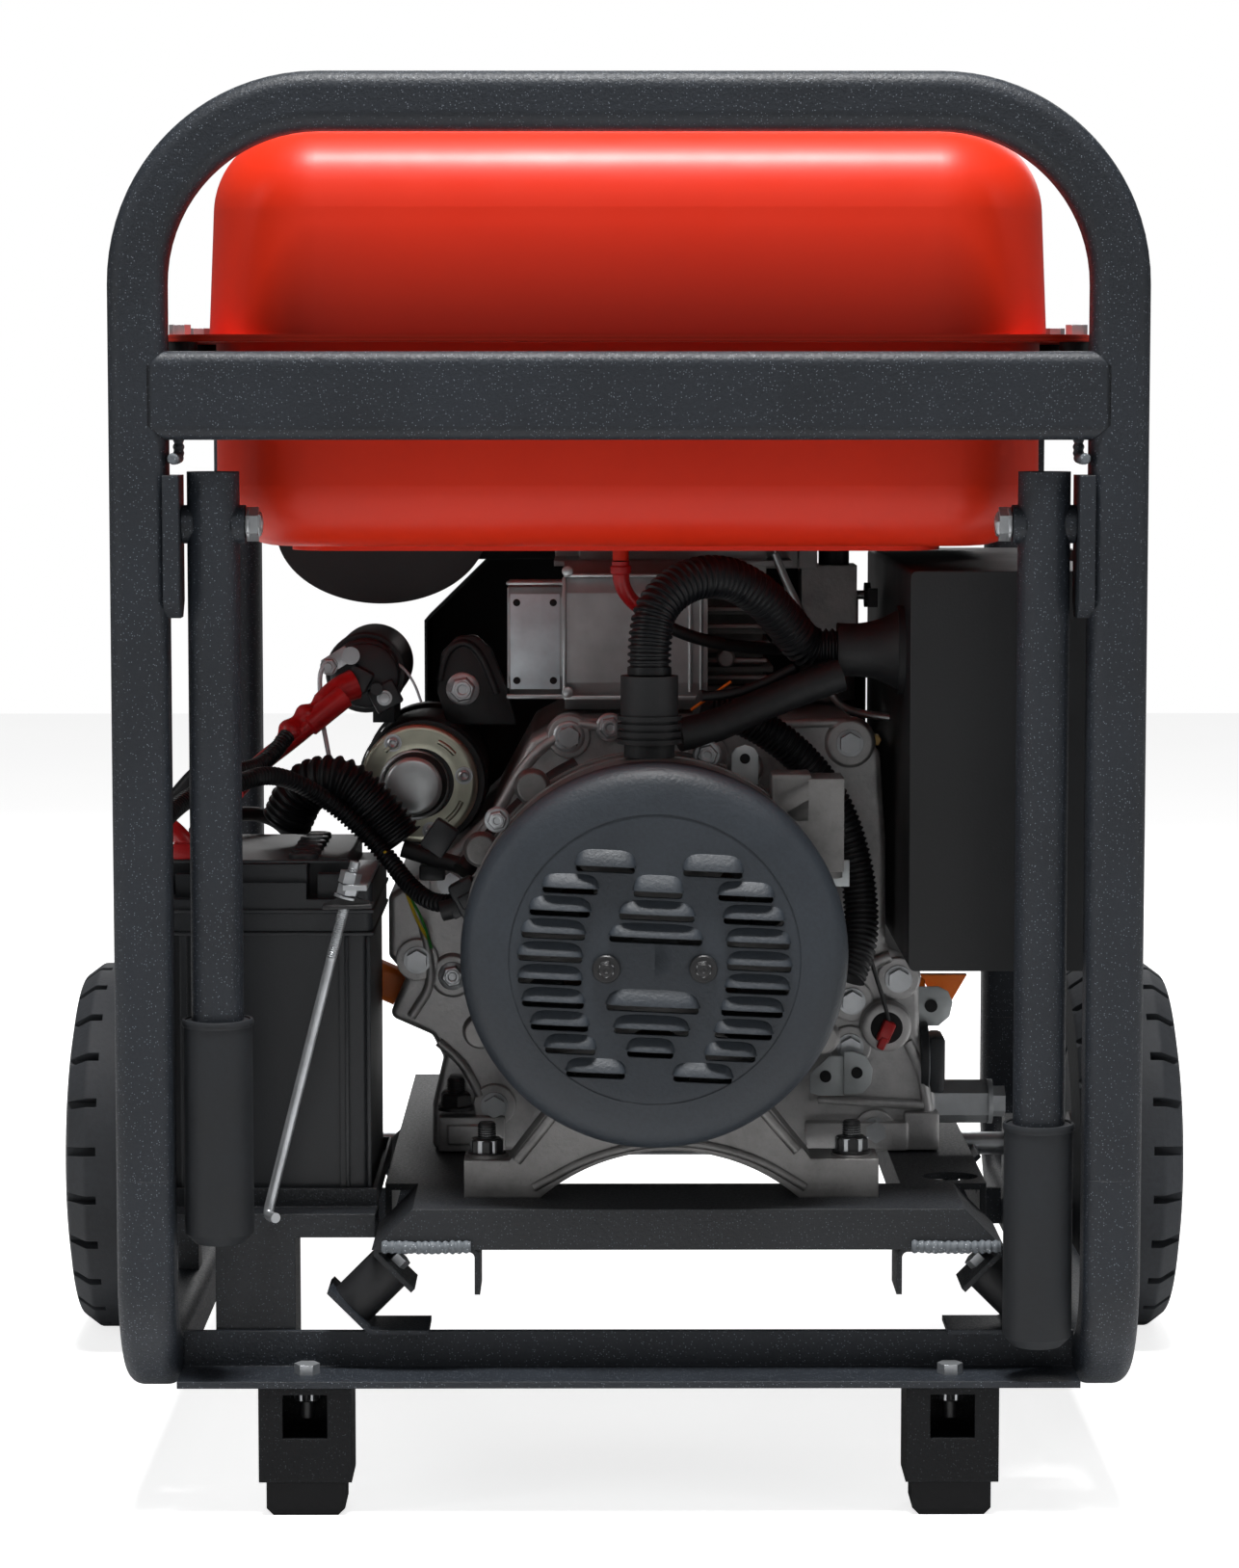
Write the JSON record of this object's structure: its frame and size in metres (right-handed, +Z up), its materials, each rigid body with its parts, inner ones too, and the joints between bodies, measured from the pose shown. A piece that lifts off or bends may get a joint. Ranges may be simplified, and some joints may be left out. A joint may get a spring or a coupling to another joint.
{
  "type": "portable generator",
  "caption": "Open-frame portable generator with a red fuel tank, alternator, electric-start engine, battery, side control box, two wheels and folding lift handles.",
  "frame": {"origin": "on the floor, under the middle of the frame's outer box", "axes": "+Z up; -Y towards the alternator and handle end; +X towards the control panel side"},
  "size_m": [0.7598, 0.68, 0.831],
  "materials": {
    "frame_paint": "fine textured powder coat, satin",
    "black_rubber": "matt",
    "black_steel": "satin black",
    "black_plastic": "fine grain",
    "zinc_steel": "zinc plated",
    "tank_paint": "gloss enamel",
    "cast_aluminium": "matt die casting",
    "red_rubber": "satin",
    "orange_plastic": "satin",
    "copper_winding": "varnished",
    "lamination_steel": "varnished",
    "slate_plastic": "fine grain",
    "red_plastic": "gloss",
    "white_plastic": "gloss",
    "tyre_rubber": "matt",
    "rim_paint": "semi gloss",
    "grip_rubber": "matt, faintly mottled"
  },
  "bodies": {
    "generator": {"front_hoop": "frame_paint", "rear_hoop": "frame_paint", "base_rails": "frame_paint", "tank_support": "frame_paint", "base_angles": "frame_paint", "foot_brackets": "frame_paint", "foot_rubbers": "black_rubber", "engine_cradle": "frame_paint", "rubber_isolators": "black_rubber", "battery_tray": "black_steel", "battery_case": "black_plastic", "battery_lid": "black_plastic", "frame_bolts": "zinc_steel", "tank_lower_shell": "tank_paint", "tank_upper_shell": "tank_paint", "fuel_gauge": "black_plastic", "fuel_valve_body": "cast_aluminium", "fuel_hose": "red_rubber", "crankcase": "cast_aluminium", "crankcase_cover": "cast_aluminium", "engine_bolts": "zinc_steel", "cylinder_block": "cast_aluminium", "cylinder_head": "cast_aluminium", "valve_cover": "black_steel", "heat_shield": "zinc_steel", "muffler": "black_steel", "carburettor": "cast_aluminium", "air_cleaner": "black_plastic", "fan_shroud": "black_steel", "recoil_starter": "black_steel", "starter_motor": "zinc_steel", "starter_solenoid": "black_plastic", "dipsticks": "orange_plastic", "stator": "lamination_steel", "end_bell": "cast_aluminium", "alternator_cover": "slate_plastic", "control_box": "black_steel", "control_panel": "black_steel", "outlets": "black_plastic", "conduit_boots": "black_rubber", "wiring_conduits": "black_plastic", "axle": "zinc_steel"},
    "fuel_cap_body": {"fuel_cap": "black_plastic"},
    "fuel_valve": {"fuel_valve_lever": "black_plastic"},
    "choke": {"choke_lever": "black_plastic"},
    "crank": {"crankshaft": "zinc_steel", "rotor": "copper_winding", "flywheel": "cast_aluminium"},
    "recoil_handle": {"recoil_grip": "black_plastic"},
    "rocker": {"engine_switch": "red_plastic"},
    "breaker_lever": {"main_breaker": "black_plastic"},
    "reset": {"reset_button": "white_plastic"},
    "wheel_left": {"tyre_left": "tyre_rubber", "rim_left": "rim_paint"},
    "wheel_right": {"tyre_right": "tyre_rubber", "rim_right": "rim_paint"},
    "lift_handle_left": {"handle_left": "frame_paint", "grip_left": "grip_rubber"},
    "lift_handle_right": {"handle_right": "frame_paint", "grip_right": "grip_rubber"}
  },
  "joints": [
    {"name": "fuel_cap_lift", "type": "slide", "parent": "generator", "child": "fuel_cap_body", "axis": [0, 0, 1], "range_m": [0, 0.04]},
    {"name": "fuel_valve_turn", "type": "hinge", "parent": "generator", "child": "fuel_valve", "pos_m": [0.151, 0.073, 0.491], "axis": [1, 0, 0], "range_deg": [0, 90]},
    {"name": "choke_turn", "type": "hinge", "parent": "generator", "child": "choke", "pos_m": [0.158, 0.025, 0.52], "axis": [1, 0, 0], "range_deg": [0, 60]},
    {"name": "crank_spin", "type": "hinge", "parent": "generator", "child": "crank", "pos_m": [0.015, 0, 0.325], "axis": [0, -1, 0], "continuous": true},
    {"name": "recoil_pull", "type": "slide", "parent": "generator", "child": "recoil_handle", "axis": [-0.7071, 0, 0.7071], "range_m": [0, 0.3], "stiffness_N_per_m": 30, "springref_m": -0.2},
    {"name": "rocker_tilt", "type": "hinge", "parent": "generator", "child": "rocker", "pos_m": [0.28, -0.19, 0.5], "axis": [0, 1, 0], "range_deg": [-10, 10]},
    {"name": "breaker_throw", "type": "hinge", "parent": "generator", "child": "breaker_lever", "pos_m": [0.282, -0.12, 0.5], "axis": [0, 1, 0], "range_deg": [-30, 30]},
    {"name": "reset_press", "type": "slide", "parent": "generator", "child": "reset", "axis": [-1, 0, 0], "range_m": [0, 0.0025], "stiffness_N_per_m": 300},
    {"name": "wheel_left_roll", "type": "hinge", "parent": "generator", "child": "wheel_left", "pos_m": [-0.342, 0.195, 0.127], "axis": [1, 0, 0], "continuous": true},
    {"name": "wheel_right_roll", "type": "hinge", "parent": "generator", "child": "wheel_right", "pos_m": [0.342, 0.195, 0.127], "axis": [1, 0, 0], "continuous": true},
    {"name": "handle_left_swing", "type": "hinge", "parent": "generator", "child": "lift_handle_left", "pos_m": [-0.237, -0.319, 0.576], "axis": [-1, 0, 0], "range_deg": [0, 90]},
    {"name": "handle_right_swing", "type": "hinge", "parent": "generator", "child": "lift_handle_right", "pos_m": [0.237, -0.319, 0.576], "axis": [-1, 0, 0], "range_deg": [0, 90]}
  ]
}
